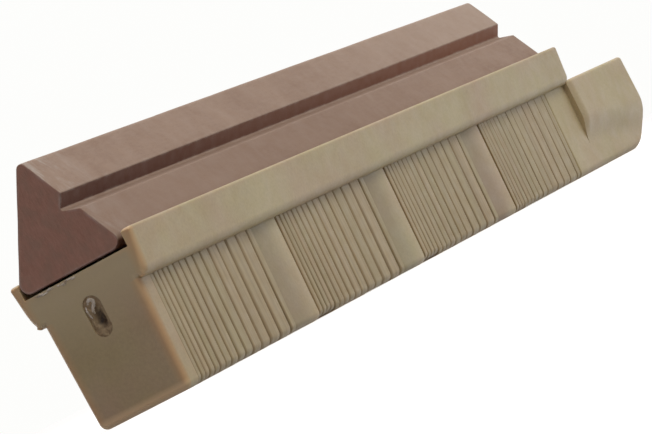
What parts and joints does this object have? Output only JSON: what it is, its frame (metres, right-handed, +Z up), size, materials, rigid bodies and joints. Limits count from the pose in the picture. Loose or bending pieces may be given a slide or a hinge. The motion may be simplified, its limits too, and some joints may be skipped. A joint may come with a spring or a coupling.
{
  "type": "door sweep",
  "caption": "Leaf-type door sweep section: packs of thin nylon leaves on a tie rod rise and drop under a channelled rail that hangs from a grooved triangular mounting bar.",
  "frame": {"origin": "centre of the footprint, on the plane that the skirt stands on", "axes": "+X along the sweep from the closed end to the spigot, +Y away from the grooved side of the mounting bar, +Z up from the floor to the door"},
  "size_m": [0.2094, 0.02, 0.0359],
  "materials": {
    "nylon": "moulded nylon, satin",
    "nylon_block": "moulded nylon, satin",
    "leaf": "moulded nylon, satin",
    "bar": "matt brown compound",
    "steel": "zinc plated",
    "plug": "dull"
  },
  "bodies": {
    "carrier": {"carrier_rail": "nylon", "mounting_bar": "bar", "spacer_block_1": "nylon_block", "spacer_block_2": "nylon_block", "spacer_block_3": "nylon_block", "end_spigot": "nylon_block", "tie_rod": "steel", "rod_nut": "steel", "end_plug": "plug", "clamp_screws": "steel"},
    "leaves_1a": {"leaf_group_1a": "leaf"},
    "leaves_1b": {"leaf_group_1b": "leaf"},
    "leaves_1c": {"leaf_group_1c": "leaf"},
    "leaves_2a": {"leaf_group_2a": "leaf"},
    "leaves_2b": {"leaf_group_2b": "leaf"},
    "leaves_2c": {"leaf_group_2c": "leaf"},
    "leaves_3a": {"leaf_group_3a": "leaf"},
    "leaves_3b": {"leaf_group_3b": "leaf"},
    "leaves_3c": {"leaf_group_3c": "leaf"},
    "leaves_4a": {"leaf_group_4a": "leaf"},
    "leaves_4b": {"leaf_group_4b": "leaf"},
    "leaves_4c": {"leaf_group_4c": "leaf"}
  },
  "joints": [
    {"name": "leaf_slide_1a", "type": "slide", "parent": "carrier", "child": "leaves_1a", "axis": [0, 0, 1], "range_m": [-0.0015, 0.0015]},
    {"name": "leaf_slide_1b", "type": "slide", "parent": "carrier", "child": "leaves_1b", "axis": [0, 0, 1], "range_m": [-0.0015, 0.0015]},
    {"name": "leaf_slide_1c", "type": "slide", "parent": "carrier", "child": "leaves_1c", "axis": [0, 0, 1], "range_m": [-0.0015, 0.0015]},
    {"name": "leaf_slide_2a", "type": "slide", "parent": "carrier", "child": "leaves_2a", "axis": [0, 0, 1], "range_m": [-0.0015, 0.0015]},
    {"name": "leaf_slide_2b", "type": "slide", "parent": "carrier", "child": "leaves_2b", "axis": [0, 0, 1], "range_m": [-0.0015, 0.0015]},
    {"name": "leaf_slide_2c", "type": "slide", "parent": "carrier", "child": "leaves_2c", "axis": [0, 0, 1], "range_m": [-0.0015, 0.0015]},
    {"name": "leaf_slide_3a", "type": "slide", "parent": "carrier", "child": "leaves_3a", "axis": [0, 0, 1], "range_m": [-0.0015, 0.0015]},
    {"name": "leaf_slide_3b", "type": "slide", "parent": "carrier", "child": "leaves_3b", "axis": [0, 0, 1], "range_m": [-0.0015, 0.0015]},
    {"name": "leaf_slide_3c", "type": "slide", "parent": "carrier", "child": "leaves_3c", "axis": [0, 0, 1], "range_m": [-0.0015, 0.0015]},
    {"name": "leaf_slide_4a", "type": "slide", "parent": "carrier", "child": "leaves_4a", "axis": [0, 0, 1], "range_m": [-0.0015, 0.0015]},
    {"name": "leaf_slide_4b", "type": "slide", "parent": "carrier", "child": "leaves_4b", "axis": [0, 0, 1], "range_m": [-0.0015, 0.0015]},
    {"name": "leaf_slide_4c", "type": "slide", "parent": "carrier", "child": "leaves_4c", "axis": [0, 0, 1], "range_m": [-0.0015, 0.0015]}
  ]
}
